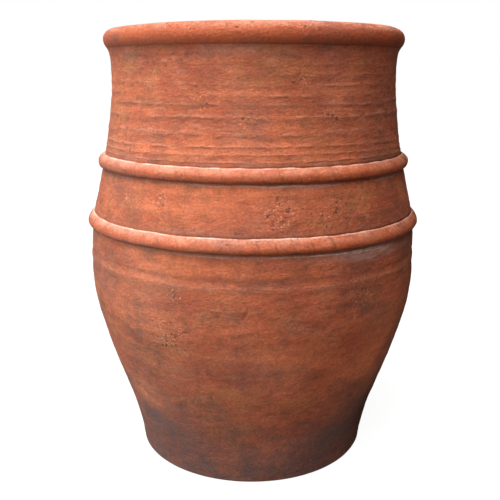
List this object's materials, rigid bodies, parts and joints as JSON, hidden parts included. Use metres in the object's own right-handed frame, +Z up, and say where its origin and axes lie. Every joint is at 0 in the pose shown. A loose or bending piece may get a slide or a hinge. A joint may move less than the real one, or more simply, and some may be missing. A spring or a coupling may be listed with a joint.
{
  "type": "terracotta jar",
  "caption": "Open, wide-mouthed terracotta jar with a bulging belly, two raised clay bands, a tall neck and a rolled lip.",
  "frame": {"origin": "centre of the jar's flat underside, on the ground", "axes": "+Z up along the jar's axis; the side seen in the picture faces -Y; +X is to the right in the picture"},
  "size_m": [0.4714, 0.4714, 0.6],
  "materials": {
    "dark_terracotta": "unglazed fired clay, damp-darkened",
    "terracotta": "unglazed fired clay with streaks and smudges",
    "pale_terracotta": "unglazed fired clay, rubbed lighter"
  },
  "bodies": {
    "root": {"base_disc": "dark_terracotta", "lower_wall": "terracotta", "belly_wall": "terracotta", "shoulder_wall": "terracotta", "neck_wall": "terracotta", "rim_roll": "pale_terracotta", "lower_band": "pale_terracotta", "upper_band": "pale_terracotta"}
  },
  "joints": []
}
